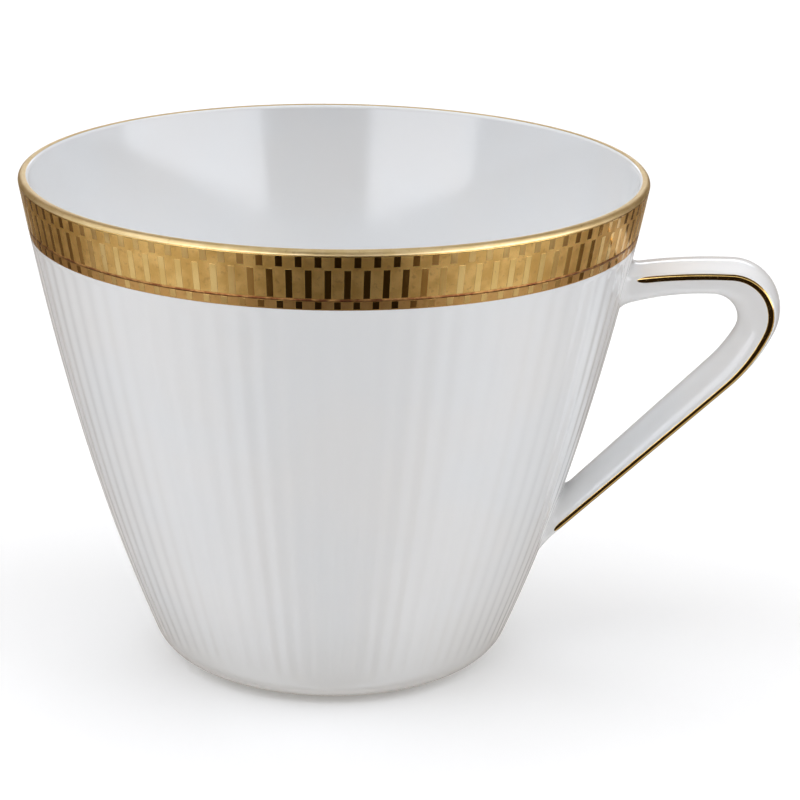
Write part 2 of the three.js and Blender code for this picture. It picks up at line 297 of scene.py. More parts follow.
# Tints: the room is warm where it is dim and turns to the lamps' cool white at a level
LAMP_COLOUR = (0.912, 0.942, 1.005)
ROOM_COLOUR = (1.0, 0.66, 0.34)
ROOM_LEVEL = 0.7
BACKDROP_COLOUR = (1.0, 1.0, 1.0)
BACKDROP_LEVEL = 1.0

# Camera
CAMERA_PLACE = (42.8 * MM, -368.44 * MM, 156.35 * MM)
CAMERA_HEADING = math.radians(6.581)
CAMERA_DIP = math.radians(18.03)
CAMERA_ROLL = math.radians(0.934)
SENSOR_WIDTH = 36.0
CAMERA_LENS = 128.275
CAMERA_AZIMUTH = math.radians(-82.0)

LIP_CENTRE = np.array([RIM_RADIUS - LIP_RADIUS, CUP_HEIGHT - LIP_RADIUS])
HEEL_TOP = HEEL_RADIUS * (1 - math.sin(HEEL_LEAN))
INNER_FLOOR = FOOT_RECESS + FLOOR_THICKNESS


# Curves in the plane of radius and height
def arc(centre, radius, start, end, steps):
    angle = np.linspace(start, end, steps + 1)
    return np.stack([centre[0] + radius * np.cos(angle), centre[1] + radius * np.sin(angle)], axis=1)


def leaning_curve(top, bottom):
    """A wall's line that leaves its top at the rim's lean and meets its bottom at the heel's lean."""
    top = np.array(top)
    bottom = np.array(bottom)
    reach = np.linalg.norm(top - bottom) / 3
    top_handle = top - reach * np.array([math.sin(RIM_LEAN), math.cos(RIM_LEAN)])
    bottom_handle = bottom + reach * np.array([math.sin(HEEL_LEAN), math.cos(HEEL_LEAN)])
    share = np.linspace(0, 1, CURVE_STEPS)[:, None]
    rest = 1 - share
    ends = top * rest**3 + bottom * share**3
    return ends + 3 * top_handle * share * rest**2 + 3 * bottom_handle * share**2 * rest


lip_arc = arc(LIP_CENTRE, LIP_RADIUS, -RIM_LEAN, math.pi - RIM_LEAN, LIP_STEPS)
outer_wall = leaning_curve(lip_arc[0], (FOOT_RADIUS + HEEL_RADIUS * math.cos(HEEL_LEAN), HEEL_TOP))
outer_face = np.concatenate([outer_wall[:0:-1], lip_arc[:LIP_STEPS // 2]])


def face_radius(height):
    """The radius of the outside at a height, up the wall and on round the lip."""
    return np.interp(height, outer_face[:, 1], outer_face[:, 0])


def smoothstep(low, high, value):
    share = np.clip((value - low) / (high - low), 0, 1)
    return share * share * (3 - 2 * share)


# Meshes
def grid_faces(rows, columns, closes_rows):
    row = np.arange(rows if closes_rows else rows - 1)[:, None]
    column = np.arange(columns)[None, :]
    next_row = (row + 1) % rows
    next_column = (column + 1) % columns
    corners = [
        row * columns + column,
        row * columns + next_column,
        next_row * columns + next_column,
        next_row * columns + column,
    ]
    return np.stack(np.broadcast_arrays(*corners), axis=-1).reshape(-1, 4).tolist()


def fan_faces(ring_start, columns, tip):
    return [[tip, ring_start + column, ring_start + (column + 1) % columns] for column in range(columns)]


def capped_rings(rings, tips):
    """The points and faces of a tube through some rings, closed by a fan to a tip at each end."""
    rows, columns = rings.shape[:2]
    points = np.concatenate([rings.reshape(-1, 3), tips])
    first_tip = rows * columns
    faces = grid_faces(rows, columns, False)
    faces += fan_faces(0, columns, first_tip) + fan_faces(first_tip - columns, columns, first_tip + 1)
    return points, faces


def make_piece(name, points, faces, material, replaced=()):
    mesh = bpy.data.meshes.new(name)
    mesh.from_pydata(np.asarray(points).tolist(), [], faces)
    outward = bmesh.new()
    outward.from_mesh(mesh)
    bmesh.ops.recalc_face_normals(outward, faces=outward.faces)
    outward.to_mesh(mesh)
    outward.free()
    mesh.shade_smooth()
    mesh.materials.append(material)
    piece = bpy.data.objects.new(name, mesh)
    bpy.context.scene.collection.objects.link(piece)
    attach(piece, "root")
    if replaced:
        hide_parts(*replaced)
    return piece


def turned_points(profile, angles):
    """The points of a profile turned about the cup's axis: one row per profile point."""
    radius = profile[:, 0][:, None]
    height = profile[:, 1][:, None]
    x = AXIS_X + radius * np.cos(angles)
    y = radius * np.sin(angles)
    return np.stack([x, y, np.broadcast_to(height, x.shape)], axis=-1)


def turned_ring(name, profile, columns, material, replaced=()):
    """A closed ring: its profile closes on itself."""
    angles = np.linspace(0, 2 * np.pi, columns, endpoint=False)
    points = turned_points(profile, angles).reshape(-1, 3)
    return make_piece(name, points, grid_faces(len(profile), columns, True), material, replaced)


# Material nodes
def add_node(tree, kind, inputs=None, **settings):
    made = tree.nodes.new(kind)
    for key, value in settings.items():
        setattr(made, key, value)
    for key, value in (inputs or {}).items():
        if isinstance(value, bpy.types.NodeSocket):
            tree.links.new(value, made.inputs[key])
        else:
            made.inputs[key].default_value = value
    return made


def calculate(tree, operation, *values):
    made = add_node(tree, "ShaderNodeMath", dict(enumerate(values)), operation=operation)
    return made.outputs[0]


def remap(tree, value, source, target):
    inputs = {
        "Value": value,
        "From Min": source[0],
        "From Max": source[1],
        "To Min": target[0],
        "To Max": target[1],
    }
    return add_node(tree, "ShaderNodeMapRange", inputs, interpolation_type="SMOOTHSTEP").outputs[0]


def mix_colours(tree, share, low, high):
    colours = {0: share, 6: (*low, 1) if isinstance(low, tuple) else low, 7: (*high, 1)}
    return add_node(tree, "ShaderNodeMix", colours, data_type="RGBA").outputs[2]


def noise(tree, feature_size, detail=PLAIN_DETAIL):
    place = add_node(tree, "ShaderNodeTexCoord").outputs["Object"]
    inputs = {"Vector": place, "Scale": 1 / feature_size, "Detail": detail}
    return add_node(tree, "ShaderNodeTexNoise", inputs).outputs[0]


def height_of(tree):
    place = add_node(tree, "ShaderNodeTexCoord").outputs["Object"]
    return add_node(tree, "ShaderNodeSeparateXYZ", {0: place}).outputs["Z"]


def bump(tree, height, strength, distance):
    inputs = {"Height": height, "Strength": strength, "Distance": distance}
    return add_node(tree, "ShaderNodeBump", inputs).outputs[0]


def new_material(name):
    material = bpy.data.materials.new(name)
    material.use_nodes = True
    tree = material.node_tree
    return material, tree, tree.nodes["Principled BSDF"].inputs


def make_porcelain():
    material, tree, shader = new_material("porcelain_glaze")
    clouds = remap(tree, noise(tree, GLAZE_CLOUDS), MIDDLE_NOISE, (0, 1))
    glaze = mix_colours(tree, clouds, *GLAZE_COLOURS)
    # Painted shade: the glaze turns darker and warmer towards the heel
    heel_shade = remap(tree, height_of(tree), HEEL_SHADE_HEIGHTS, (1, 0))
    glaze = mix_colours(tree, heel_shade, glaze, HEEL_SHADE_COLOUR)
    bare = remap(tree, height_of(tree), BARE_HEIGHTS, (1, 0))
    tree.links.new(mix_colours(tree, bare, glaze, BARE_COLOUR), shader["Base Color"])
    gloss = remap(tree, noise(tree, GLAZE_PATCHES), MOST_NOISE, GLAZE_ROUGHNESS)
    rough = calculate(tree, "MAXIMUM", gloss, calculate(tree, "MULTIPLY", bare, BARE_ROUGHNESS))
    tree.links.new(rough, shader["Roughness"])
    ripples = noise(tree, GLAZE_RIPPLES, SMOOTH_DETAIL)
    tree.links.new(bump(tree, ripples, RIPPLE_STRENGTH, GLAZE_RELIEF), shader["Normal"])
    shader["IOR"].default_value = GLAZE_IOR
    return material


def make_etched_gold():
    material, tree, shader = new_material("etched_matte_gold")
    grain = noise(tree, GRAIN_SIZE, FINE_DETAIL)
    blotches = remap(tree, noise(tree, GROUND_BLOTCHES), GROUND_BLOTCH_NOISE, (0, 1))
    ground = mix_colours(tree, blotches, *GROUND_COLOURS)
    under_line = remap(tree, height_of(tree), BROWN_LINE_SPAN, (LOWER_GROUND_SHARE, 0))
    ground = mix_colours(tree, under_line, ground, LOWER_GROUND_COLOUR)
    stains = remap(tree, noise(tree, STAIN_SIZE, FINE_DETAIL), STAIN_NOISE, (0, STAIN_SHARE))
    ground = mix_colours(tree, stains, ground, STAIN_COLOUR)
    pits = remap(tree, grain, PIT_NOISE, (PIT_SHARE, 0))
    tree.links.new(mix_colours(tree, pits, ground, PIT_COLOUR), shader["Base Color"])
    tree.links.new(remap(tree, grain, MOST_NOISE, GROUND_ROUGHNESS), shader["Roughness"])
    tree.links.new(bump(tree, grain, GRAIN_STRENGTH, GOLD_RELIEF), shader["Normal"])
    shader["Metallic"].default_value = 1.0
    return material


def make_bright_gold(name, colours, finish):
    """Gold in blotches of two colours, with rubbed spots, uneven gloss and fine ripples."""
    material, tree, shader = new_material(name)
    blotches = remap(tree, noise(tree, finish["blotch_size"]), MIDDLE_NOISE, (0, 1))
    gold = mix_colours(tree, blotches, *colours)
    spots = noise(tree, finish["rubbed_size"], FINEST_DETAIL)
    rubbed = remap(tree, spots, finish["rubbed_noise"], (0, finish["rubbed_share"]))
    tree.links.new(mix_colours(tree, rubbed, gold, finish["rubbed_colour"]), shader["Base Color"])
    rough = remap(tree, noise(tree, GOLD_PATCHES, FINE_DETAIL), MOST_NOISE, finish["roughness"])
    tree.links.new(rough, shader["Roughness"])
    ripples = noise(tree, finish["ripple_size"], SMOOTH_DETAIL)
    tree.links.new(bump(tree, ripples, RIPPLE_STRENGTH, GOLD_RELIEF), shader["Normal"])
    shader["Metallic"].default_value = 1.0
    return material


def make_brown_gold():
    material, tree, shader = new_material("thin_brown_gold")
    patches = remap(tree, noise(tree, BROWN_PATCHES, FINE_DETAIL), BROWN_NOISE, (0, 1))
    tree.links.new(mix_colours(tree, patches, *BROWN_COLOURS), shader["Base Color"])
    tree.links.new(remap(tree, patches, (0, 1), BROWN_ROUGHNESS), shader["Roughness"])
    shader["Metallic"].default_value = 1.0
    return material


porcelain = make_porcelain()
etched_gold = make_etched_gold()
burnished_gold = make_bright_gold("burnished_gold", BURNISHED_COLOURS, BURNISHED_FINISH)
worn_gold = make_bright_gold("worn_gold", WORN_COLOURS, BURNISHED_FINISH)
satin_gold = make_bright_gold("satin_gold", SATIN_COLOURS, SATIN_FINISH)
brown_gold = make_brown_gold()


# Bowl
def beside_face(heights, depth):
    """Points beside the outside at some heights, sunk into it by a depth."""
    return np.stack([face_radius(heights) - depth, heights], axis=1)


def bowl_profile():
    """Rows from the edge of the recess under the foot, over the lip, to the edge of the inside's floor."""
    foot_inner = FOOT_RADIUS - FOOT_RING_WIDTH
    recess_centre = (foot_inner - FOOT_ROUND, FOOT_RECESS - FOOT_ROUND)
    recess_round = arc(recess_centre, FOOT_ROUND, math.pi / 2, 0, FOOT_STEPS)
    ring_centre = (foot_inner + FOOT_ROUND, FOOT_ROUND)
    ring_round = arc(ring_centre, FOOT_ROUND, math.pi, 1.5 * math.pi, FOOT_STEPS)
    heel = arc((FOOT_RADIUS, HEEL_RADIUS), HEEL_RADIUS, -math.pi / 2, -HEEL_LEAN, HEEL_STEPS)
    flute_low = HEEL_TOP + FLUTE_FOOT_RUN_OUT
    flute_high = BAND_BOTTOM - FLUTE_BAND_RUN_OUT
    wall_heights = np.concatenate([
        np.linspace(HEEL_TOP, flute_low, FLUTE_FOOT_ROWS)[1:],
        np.linspace(flute_low, flute_high, FLUTE_ROWS)[1:],
        np.linspace(flute_high, BAND_BOTTOM - BED_GAP, FLUTE_BAND_ROWS)[1:],
        [BAND_BOTTOM],
    ])
    wall = beside_face(wall_heights, 0)
    bed = beside_face(np.linspace(BAND_BOTTOM, lip_arc[0, 1], BED_ROWS), BED_DEPTH)
    lip_bed = arc(LIP_CENTRE, LIP_RADIUS - BED_DEPTH, -RIM_LEAN, LIP_LINE_END, LIP_BED_STEPS)[1:]
    lip_inside = arc(LIP_CENTRE, LIP_RADIUS, LIP_LINE_END, math.pi - RIM_LEAN, LIP_BED_STEPS)
    inner_heel_top = INNER_FLOOR + INNER_HEEL_RADIUS * (1 - math.sin(HEEL_LEAN))
    inner_heel_radius = face_radius(inner_heel_top) - WALL_THICKNESS / math.cos(HEEL_LEAN)
    inner_wall = leaning_curve(lip_arc[-1], (inner_heel_radius, inner_heel_top))
    inner_wall = inner_wall[INNER_WALL_STRIDE:-1:INNER_WALL_STRIDE]
    inner_heel_centre = (
        inner_heel_radius - INNER_HEEL_RADIUS * math.cos(HEEL_LEAN),
        INNER_FLOOR + INNER_HEEL_RADIUS,
    )
    inner_heel = arc(inner_heel_centre, INNER_HEEL_RADIUS, -HEEL_LEAN, -math.pi / 2, INNER_HEEL_STEPS)
    outside = [recess_round, ring_round, heel, wall, bed]
    return np.concatenate(outside + [lip_bed, lip_inside, inner_wall, inner_heel])


def flute_cut(profile, columns):
    """How far each point of the wall lies inside its crests."""
    column = np.arange(columns)
    share = 0.5 - 0.5 * np.cos(2 * math.pi * column / COLUMNS_PER_FLUTE)
    uneven = np.random.default_rng(FLUTE_SEED).uniform(-1, 1, FLUTE_COUNT)
    depth = FLUTE_DEPTH * (1 + FLUTE_UNEVENNESS * uneven[column // COLUMNS_PER_FLUTE])
    height = profile[:, 1]
    foot_share = smoothstep(HEEL_TOP, HEEL_TOP + FLUTE_FOOT_RUN_OUT, height)
    band_share = smoothstep(BAND_BOTTOM - FLUTE_MARGIN, BAND_BOTTOM - FLUTE_BAND_RUN_OUT, height)
    outside = profile[:, 0] > face_radius(height) - WALL_THICKNESS / 2
    return np.outer(foot_share * band_share * outside, depth * share)


def make_bowl():
    profile = bowl_profile()
    columns = FLUTE_COUNT * COLUMNS_PER_FLUTE
    angles = np.linspace(0, 2 * np.pi, columns, endpoint=False)
    rings = turned_points(profile, angles)
    cut = flute_cut(profile, columns)
    rings[..., 0] -= cut * np.cos(angles)
    rings[..., 1] -= cut * np.sin(angles)
    points, faces = capped_rings(rings, [[AXIS_X, 0, FOOT_RECESS], [AXIS_X, 0, INNER_FLOOR]])
    make_piece("cup_bowl", points, faces, porcelain, ["cup_body"])


# Gilding round the rim
def gilded_ring(name, heights, depth, material, replaced=()):
    """A ring of gold in the wall, filling its bed up to a depth under the outside."""
    profile = np.concatenate([
        beside_face(heights, depth),
        beside_face(heights[::-1], BED_DEPTH - BED_GAP),
    ])
    turned_ring(name, profile, BAND_COLUMNS, material, replaced)


def tile_points(angle, span):
    """A tile on the band: sunk edges, a small bevel and a polished top flush with the outside."""
    insets = np.array([0, TILE_BEVEL, 2 * TILE_BEVEL])
    across = np.concatenate([insets - TILE_WIDTH / 2, TILE_WIDTH / 2 - insets[::-1]])
    inner = np.linspace(span[0] + insets[-1], span[1] - insets[-1], TILE_ROWS)[1:-1]
    heights = np.concatenate([span[0] + insets, inner, span[1] - insets[::-1]])[:, None]
    depth = np.zeros((len(heights), len(across)))
    depth[[0, -1], :] = TILE_SINK
    depth[:, [0, -1]] = TILE_SINK
    radius = face_radius(heights) - depth
    turn = angle + across[None, :] / RIM_RADIUS
    heights = np.broadcast_to(heights, radius.shape)
    return np.stack([AXIS_X + radius * np.cos(turn), radius * np.sin(turn), heights], axis=-1)


def tile_faces(start, rows, columns):
    """The faces of a tile's grid of points, and one face that closes its back."""
    faces = []
    for row in range(rows - 1):
        for column in range(columns - 1):
            corner = start + row * columns + column
            faces.append([corner, corner + 1, corner + columns + 1, corner + columns])
    bottom = [start + column for column in range(columns)]
    right = [start + row * columns + columns - 1 for row in range(1, rows)]
    top = [start + (rows - 1) * columns + column for column in range(columns - 2, -1, -1)]
    left = [start + row * columns for row in range(rows - 2, 0, -1)]
    faces.append(bottom + right + top + left)
    return faces


def make_tile_row(name, span, shift, material):
    """A row of tiles round the cup, shifted from the bars by a share of their spacing."""
    pitch = 2 * math.pi / TILE_COUNT
    points = []
    faces = []
    for index in range(TILE_COUNT):
        tile = tile_points(BAR_ANGLE + (index + shift) * pitch, span)
        faces += tile_faces(index * tile.shape[0] * tile.shape[1], *tile.shape[:2])
        points.append(tile.reshape(-1, 3))
    make_piece(name, np.concatenate(points), faces, material)


def make_band():
    ground_heights = np.concatenate([
        [BAND_BOTTOM],
        np.linspace(BAND_BOTTOM + EDGE_LOOP, lip_arc[0, 1], GROUND_ROWS),
        np.linspace(lip_arc[0, 1], HEM_LINE_SPAN[1], GROUND_LIP_ROWS)[1:],
    ])
    gilded_ring("band_ground", ground_heights, GROUND_DEPTH, etched_gold, ["etched_gold_band"])
    gilded_ring("band_brown_line", np.array(BROWN_LINE_SPAN), LINE_DEPTH, brown_gold)
    gilded_ring("band_hem_line", np.array(HEM_LINE_SPAN), LINE_DEPTH, burnished_gold)
    make_tile_row("band_lower_squares", LOWER_SQUARE_SPAN, BETWEEN_BARS, worn_gold)
    make_tile_row("band_bars", BAR_SPAN, AT_BARS, burnished_gold)
    make_tile_row("band_upper_squares", UPPER_SQUARE_SPAN, BETWEEN_BARS, worn_gold)


def make_lip_line():
    start = math.asin((HEM_LINE_SPAN[1] - LIP_CENTRE[1]) / LIP_RADIUS)
    face = arc(LIP_CENTRE, LIP_RADIUS, start, LIP_LINE_END, LIP_LINE_STEPS)
    back = arc(LIP_CENTRE, LIP_RADIUS - BED_DEPTH + BED_GAP, LIP_LINE_END, start, LIP_LINE_STEPS)
    profile = np.concatenate([face, back])
    turned_ring("lip_line", profile, LIP_LINE_COLUMNS, satin_gold, ["lip_gold_line"])


# Handle
def handle_line(start, end, centre, radius, turn, ease_radius):
    """A line of the handle: an arched upper leg, a bend, an easing arc and the end of a straight leg."""
    spoke = np.array([math.cos(turn), -math.sin(turn)])
    ease_centre = centre + spoke * (radius - ease_radius)
    from_ease = end - ease_centre
    leg_turn = -math.atan2(from_ease[1], from_ease[0]) - math.acos(ease_radius / np.linalg.norm(from_ease))
    bend_top = centre + np.array([0, radius])
    arch = np.array([(start[0] + centre[0]) / 2, bend_top[1]])
    share = np.linspace(0, 1, CURVE_STEPS + 1)[:, None]
    rest = 1 - share
    upper_leg = start * rest**2 + 2 * arch * share * rest + bend_top * share**2
    bend = arc(centre, radius, math.pi / 2, -turn, CURVE_STEPS)
    ease = arc(ease_centre, ease_radius, -turn, -leg_turn, CURVE_STEPS)
    lower_leg = ease[-1] * rest + end * share
    return np.concatenate([upper_leg[:-1], bend[:-1], ease[:-1], lower_leg])


def with_runs(line, run_in, run_out):
    return np.concatenate([[line[0] - run_in], line, [line[-1] + run_out]])


def handle_tracks():
    """The edge line and the inner line, run on straight into the wall, and distances along the first."""
    upper_root = np.array([face_radius(UPPER_ROOT_HEIGHT), UPPER_ROOT_HEIGHT])
    lower_root = np.array([face_radius(LOWER_ROOT_HEIGHT), LOWER_ROOT_HEIGHT])
    bend_outside = HANDLE_REACH - OUTER_CROWN
    bend_top = BEND_HEIGHT + BEND_RADIUS
    bend_centre = np.array([bend_outside - BEND_RADIUS, BEND_HEIGHT])
    edge = handle_line(upper_root, lower_root, bend_centre, BEND_RADIUS, BEND_TURN, EASE_RADIUS)
    run_in = edge[1] - edge[0]
    run_in *= ROOT_RUN / np.linalg.norm(run_in)
    run_out = edge[-1] - edge[-2]
    run_out *= ROOT_RUN / np.linalg.norm(run_out)
    under_leg = np.array([run_out[1], -run_out[0]]) * LOWER_ROOT_DEPTH / ROOT_RUN
    inner_centre = np.array([bend_outside - BEND_DEPTH, bend_top - BEND_TOP_DEPTH]) - INNER_BEND_RADIUS
    inner = handle_line(
        upper_root - np.array([0, UPPER_ROOT_DEPTH]),
        lower_root + under_leg,
        inner_centre,
        INNER_BEND_RADIUS,
        INNER_BEND_TURN,
        INNER_EASE_RADIUS,
    )
    track = with_runs(edge, run_in, run_out)
    steps = np.linalg.norm(np.diff(track, axis=0), axis=1)
    distance = np.concatenate([[0], np.cumsum(steps)]) - ROOT_RUN
    return track, with_runs(inner, run_in, run_out), distance


track, inner_track, track_distance = handle_tracks()
track_along = np.gradient(track, track_distance, axis=0)
track_along /= np.linalg.norm(track_along, axis=1)[:, None]
track_under = inner_track - track
LEG_END = track_distance[-2]


def along_track(values, distance):
    return np.stack([np.interp(distance, track_distance, values[:, axis]) for axis in (0, 1)], axis=-1)


def strap_shares():
    """The section's outline, as shares of its half width and of its crown or depth."""
    turn = np.linspace(0, EDGE_TURN, EDGE_STEPS + 1)
    edge_across = 1 - EDGE_RADIUS * (1 - np.cos(turn)) / HALF_HANDLE
    edge_rise = EDGE_RADIUS * np.sin(turn) / OUTER_CROWN
    spread = np.linspace(1, -1, CROWN_STEPS + 1)[1:-1]
    crown_across = edge_across[-1] * spread
    crown_rise = edge_rise[-1] + (1 - edge_rise[-1]) * (1 - spread**2)
    angle = np.linspace(0, math.pi, ROUND_STEPS + 1)[1:-1]
    power = 2 / INNER_SQUARENESS
    round_across = -np.sign(np.cos(angle)) * np.abs(np.cos(angle)) ** power
    round_rise = -np.sin(angle) ** power
    across = np.concatenate([edge_across, crown_across, -edge_across[::-1], round_across])
    return across, np.concatenate([edge_rise, crown_rise, edge_rise[::-1], round_rise])


section_across, section_rise = strap_shares()


def strap_points(distance, wider):
    """The section's points, each at its own distance along the track, widened by an amount all round."""
    distance = np.broadcast_to(distance, section_across.shape)
    along = along_track(track_along, distance)
    outward = np.stack([-along[:, 1], along[:, 0]], axis=-1)
    under = along_track(track_under, distance)
    deeper = 1 + wider / np.linalg.norm(under, axis=1)
    risen = outward * (np.clip(section_rise, 0, 1) * (OUTER_CROWN + wider))[:, None]
    sunk = under * (np.clip(-section_rise, 0, 1) * deeper)[:, None]
    place = along_track(track, distance) + risen + sunk
    return np.stack([place[:, 0], section_across * (HALF_HANDLE + wider), place[:, 1]], axis=-1)


def root_distances(outside, inside, stand, wider):
    """For each point of the section, the distance at which it stands off the wall by an amount."""
    outside = np.full(section_across.shape, outside)
    inside = np.full(section_across.shape, inside)
    for _ in range(HALVINGS):
        middle = (outside + inside) / 2
        points = strap_points(middle, wider)
        is_out = np.hypot(points[:, 0], points[:, 1]) > face_radius(points[:, 2]) + stand
        outside = np.where(is_out, middle, outside)
        inside = np.where(is_out, inside, middle)
    return outside


def root_rings(outside, inside, fillet):
    """Rings of a fillet from inside the wall to the plain strap, and the distances of the last one."""
    rings = []
    for share in np.linspace(0, 1, FILLET_STEPS + 1):
        stand = fillet * share - ROOT_SINK * (1 - share)
        wider = fillet * (1 - math.sqrt(1 - (1 - share) ** 2))
        rings.append(strap_points(root_distances(outside, inside, stand, wider), wider))
    return rings, root_distances(outside, inside, fillet, 0.0)


def easing_rings(fillet_end, leg_end):
    """Rings between a fillet's last ring and the first straight ring of the plain strap."""
    return [strap_points(fillet_end * (1 - share) + leg_end * share, 0.0) for share in CLEARANCE_SHARES]


def handle_rings():
    """All rings of the strap, from inside the wall at its upper root to inside it at its lower root."""
    upper, upper_last = root_rings(LEG_END / 2, -ROOT_RUN, UPPER_FILLET)
    lower, lower_last = root_rings(LEG_END / 2, LEG_END + ROOT_RUN, LOWER_FILLET)
    first = upper_last.max() + LEG_CLEARANCE
    last = lower_last.min() - LEG_CLEARANCE
    leaving = easing_rings(upper_last, first)
    arriving = easing_rings(lower_last, last)[::-1]
    count = int((last - first) / RING_SPACING)
    straps = [strap_points(distance, 0.0) for distance in np.linspace(first, last, count)]
    rings = np.array(upper + leaving + straps + arriving + lower[::-1])
    rings[..., 0] += AXIS_X
    return rings


def ring_normals(rings):
    along = np.gradient(rings, axis=0)
    around = np.roll(rings, -1, axis=1) - np.roll(rings, 1, axis=1)
    normals = np.cross(along, around)
    normals /= np.linalg.norm(normals, axis=-1, keepdims=True)
    outwards = rings - rings.mean(axis=1, keepdims=True)
    return normals * np.sign((normals * outwards).sum())


def make_strap_piece(name, rings, normals, node):
    """One closed length of the strap, shaded by normals that run on into its neighbours."""
    middles = rings.mean(axis=1)
    points, faces = capped_rings(rings, middles[[0, -1]])
    piece = make_piece(name, points, faces, porcelain, [node])
    tip_normals = [middles[0] - middles[1], middles[-1] - middles[-2]]
    shading = np.concatenate([normals.reshape(-1, 3), tip_normals])
    piece.data.normals_split_custom_set_from_vertices(shading.tolist())


def make_handle():
    rings = handle_rings()
    normals = ring_normals(rings)
    joint = FILLET_STEPS + 1
    make_strap_piece("upper_root", rings[:joint], normals[:joint], "upper_handle_joint")
    strap = slice(joint - 1, len(rings) - joint + 1)
    make_strap_piece("handle_strap", rings[strap], normals[strap], "handle")
    make_strap_piece("lower_root", rings[-joint:], normals[-joint:], "lower_handle_joint")


def gold_line_ring(distance, side, width_share):
    """The section of a gold line on one rounded edge of the strap, thin at its two sides."""
    edge = along_track(track, distance)
    along = along_track(track_along, distance)
    outward = np.array([-along[1], along[0]])
    share = np.linspace(-1, 1, LINE_STEPS + 1)
    lower = smoothstep(*LINE_SHIFT, distance / LEG_END)
    over_edge = EDGE_RADIUS * np.interp(lower, (0, 1), LINE_TURN)
    on_side = np.interp(lower, (0, 1), LINE_ON_SIDE)
    reach = (over_edge - on_side) / 2 + (over_edge + on_side) / 2 * share * width_share
    lean = np.clip(reach, 0, None) / EDGE_RADIUS
    across = HALF_HANDLE - EDGE_RADIUS * (1 - np.cos(lean))
    rise = EDGE_RADIUS * np.sin(lean) + np.clip(reach, None, 0)
    lift = LINE_HEIGHT * (1 - share**4) * width_share
    layers = []
    for stand in (lift, np.full(len(share), -LINE_SEAT)):
        y = side * (across + stand * np.cos(lean))
        place = edge + np.outer(rise + stand * np.sin(lean), outward)
        layers.append(np.stack([AXIS_X + place[:, 0], y, place[:, 1]], axis=-1))
    return np.concatenate([layers[0], layers[1][::-1]])


def make_gold_line(name, side, node):
    """A gold line along one edge of the handle, with rounded ends a little off the wall."""
    first = root_distances(LEG_END / 2, -ROOT_RUN, LINE_UPPER_STAND, 0.0)[0]
    last = root_distances(LEG_END / 2, LEG_END + ROOT_RUN, LINE_LOWER_STAND, 0.0)[0]
    distances = np.concatenate([
        np.linspace(first, first + LINE_TAPER, LINE_TIP_RINGS)[:-1],
        np.linspace(first + LINE_TAPER, last - LINE_TAPER, LINE_RINGS),
        np.linspace(last - LINE_TAPER, last, LINE_TIP_RINGS)[1:],
    ])
    from_end = np.minimum(distances - first, last - distances)
    shares = np.sqrt(1 - (1 - np.clip(from_end / LINE_TAPER, LINE_TIP_SHARE, 1)) ** 2)
    rings = np.array([gold_line_ring(distance, side, share) for distance, share in zip(distances, shares)])
    points, faces = capped_rings(rings, rings[[0, -1]].mean(axis=1))
    make_piece(name, points, faces, burnished_gold, [node])


make_bowl()
make_band()
make_lip_line()
make_handle()
make_gold_line("edge_line_left", 1, "handle_gold_line_left")
make_gold_line("edge_line_right", -1, "handle_gold_line_right")


# Studio
def make_floor():
    """A pale floor that is hidden from the gloss, which mirrors the room's own table."""
    signs = [(-1, -1), (1, -1), (1, 1), (-1, 1)]
    corners = [(x * FLOOR_HALF, y * FLOOR_HALF, -FLOOR_DROP) for x, y in signs]
    mesh = bpy.data.meshes.new("floor")
    mesh.from_pydata(corners, [], [(0, 1, 2, 3)])
    material, tree, shader = new_material("pale_floor")
    shade = remap(tree, noise(tree, FLOOR_CLOUDS), MOST_NOISE, (0, 1))
    tree.links.new(mix_colours(tree, shade, *FLOOR_COLOURS), shader["Base Color"])
    shader["Roughness"].default_value = FLOOR_ROUGHNESS
    shader["Specular IOR Level"].default_value = FLOOR_SPECULAR
    shader["Emission Color"].default_value = FLOOR_FILL_COLOUR
    shader["Emission Strength"].default_value = FLOOR_FILL
    mesh.materials.append(material)
    floor = bpy.data.objects.new("floor", mesh)
    bpy.context.scene.collection.objects.link(floor)
    floor.visible_glossy = False


def window(tree, value, span, softness):
    """1 between two angles in degrees, 0 outside them, with soft edges."""
    low, high, soft = (math.radians(angle) for angle in (*span, softness))
    rising = remap(tree, value, (low - soft, low + soft), (0, 1))
    falling = remap(tree, value, (high - soft, high + soft), (1, 0))
    return calculate(tree, "MULTIPLY", rising, falling)


def either_side(tree, turn, left, right, softness):
    return calculate(tree, "ADD", window(tree, turn, left, softness), window(tree, turn, right, softness))


def between_rises(tree, share, rise, span, softness):
    return calculate(tree, "MULTIPLY", share, window(tree, rise, span, softness))


def blend(tree, share, low, high):
    return add_node(tree, "ShaderNodeMix", {0: share, 2: low, 3: high}, data_type="FLOAT").outputs[0]


def room_fill(tree, turn, rise):
    """What lights the cup: the back wall, a lamp at each side and one high in front."""
    back = window(tree, calculate(tree, "ABSOLUTE", turn), BACK_WALL, LAMP_SOFTNESS)
    fill = blend(tree, back, FRONT_FILL, BACK_FILL)
    lamps = either_side(tree, turn, LEFT_LAMP, RIGHT_LAMP, LAMP_SOFTNESS)
    lamps = between_rises(tree, lamps, rise, LAMP_RISE, LAMP_SOFTNESS)
    fill = blend(tree, lamps, fill, LAMP_FILL)
    front_lamp = window(tree, turn, FRONT_LAMP, LAMP_SOFTNESS)
    front_lamp = between_rises(tree, front_lamp, rise, FRONT_RISE, LAMP_SOFTNESS)
    return blend(tree, front_lamp, fill, FRONT_LAMP_FILL)


